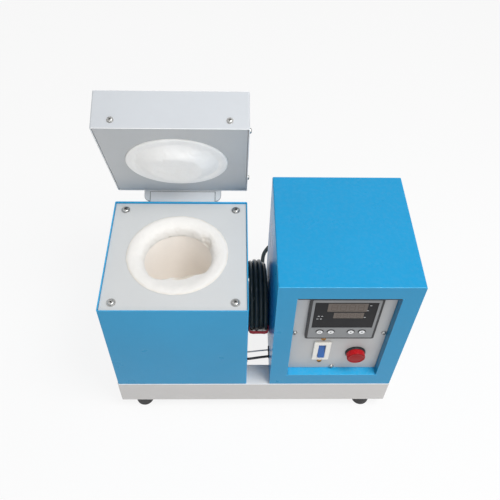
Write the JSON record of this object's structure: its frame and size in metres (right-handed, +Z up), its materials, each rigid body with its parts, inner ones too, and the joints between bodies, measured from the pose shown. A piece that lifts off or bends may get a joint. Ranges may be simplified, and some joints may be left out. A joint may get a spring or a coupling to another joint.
{
  "type": "crucible furnace",
  "caption": "Bench-top electric crucible furnace: porcelain pot in a fibre-lined steel box with a hinged lid, beside a control box with a panel temperature controller, on a steel base.",
  "frame": {"origin": "centre of the object's box, open lid included, at the floor under the feet", "axes": "+X along the base from the furnace to the control box, +Y from the control panel to the back, +Z up"},
  "size_m": [0.4174, 0.2734, 0.4672],
  "materials": {
    "blue_paint": "satin",
    "grey_paint": "satin",
    "zinc_steel": "satin",
    "foot_rubber": "matte",
    "fibre": "matte",
    "porcelain": "satin",
    "fireclay": "matte",
    "heating_wire": "matte",
    "black_plastic": "satin",
    "window_plastic": "gloss",
    "display_plastic": "gloss",
    "key_plastic": "satin",
    "white_plastic": "satin",
    "blue_plastic": "gloss",
    "brass": "satin",
    "red_lens": "gloss",
    "relay_plastic": "satin",
    "sink_aluminium": "satin",
    "lead_rubber": "satin",
    "pale_sleeve": "matte",
    "cord_pvc": "satin",
    "tie_red": "satin"
  },
  "bodies": {
    "base": {"base_tray": "grey_paint", "rubber_feet": "foot_rubber", "foot_screws": "zinc_steel", "tray_bolts": "zinc_steel", "furnace_shell": "blue_paint", "furnace_floor": "zinc_steel", "insulation_shelf": "zinc_steel", "hearth_board": "fibre", "heating_muffle": "fireclay", "heating_coil": "heating_wire", "fibre_blanket": "fibre", "fibre_collar": "fibre", "crucible": "porcelain", "top_plate": "grey_paint", "top_plate_screws": "zinc_steel", "thermocouple": "zinc_steel", "furnace_terminals": "fireclay", "hinge_bracket": "zinc_steel", "bracket_screws": "zinc_steel", "hinge_pin": "zinc_steel", "hinge_nut": "zinc_steel", "control_box_shell": "blue_paint", "control_box_back": "blue_paint", "back_screws": "zinc_steel", "control_panel": "grey_paint", "panel_screws": "zinc_steel", "controller_bezel": "black_plastic", "controller_case": "black_plastic", "controller_window": "window_plastic", "controller_display": "display_plastic", "switch_plate": "white_plastic", "switch_body": "black_plastic", "switch_screws": "brass", "lamp_ring": "black_plastic", "lamp_lens": "red_lens", "lamp_body": "black_plastic", "relay": "relay_plastic", "relay_heatsink": "sink_aluminium", "terminal_strip": "black_plastic", "lead_grommets": "lead_rubber", "heater_lead": "lead_rubber", "thermocouple_lead": "pale_sleeve", "cord_gland": "black_plastic", "cord_tube": "cord_pvc", "cord_coil": "cord_pvc", "cord_tie": "tie_red", "cord_plug": "cord_pvc", "plug_pins": "brass"},
    "lid": {"lid_shell": "grey_paint", "lid_plate": "grey_paint", "lid_screws": "zinc_steel", "lid_pad": "fibre", "lid_blanket": "fibre", "hinge_strap": "grey_paint", "strap_screws": "zinc_steel"},
    "rocker": {"switch_rocker": "blue_plastic"},
    "key_1": {"key_1": "key_plastic"},
    "key_2": {"key_2": "key_plastic"},
    "key_3": {"key_3": "key_plastic"},
    "key_4": {"key_4": "key_plastic"}
  },
  "joints": [
    {"name": "lid_swing", "type": "hinge", "parent": "base", "child": "lid", "pos_m": [-0.1095, 0.06793, 0.249], "axis": [1, 0, 0], "range_deg": [0, 67.2]},
    {"name": "rocker_tilt", "type": "hinge", "parent": "base", "child": "rocker", "pos_m": [0.095, -0.12037, 0.15635], "axis": [1, 0, 0], "range_deg": [0, 24]},
    {"name": "key_1_press", "type": "slide", "parent": "base", "child": "key_1", "axis": [0, 1, 0], "range_m": [0, 0.0005], "stiffness_N_per_m": 400},
    {"name": "key_2_press", "type": "slide", "parent": "base", "child": "key_2", "axis": [0, 1, 0], "range_m": [0, 0.0005], "stiffness_N_per_m": 400},
    {"name": "key_3_press", "type": "slide", "parent": "base", "child": "key_3", "axis": [0, 1, 0], "range_m": [0, 0.0005], "stiffness_N_per_m": 400},
    {"name": "key_4_press", "type": "slide", "parent": "base", "child": "key_4", "axis": [0, 1, 0], "range_m": [0, 0.0005], "stiffness_N_per_m": 400}
  ]
}
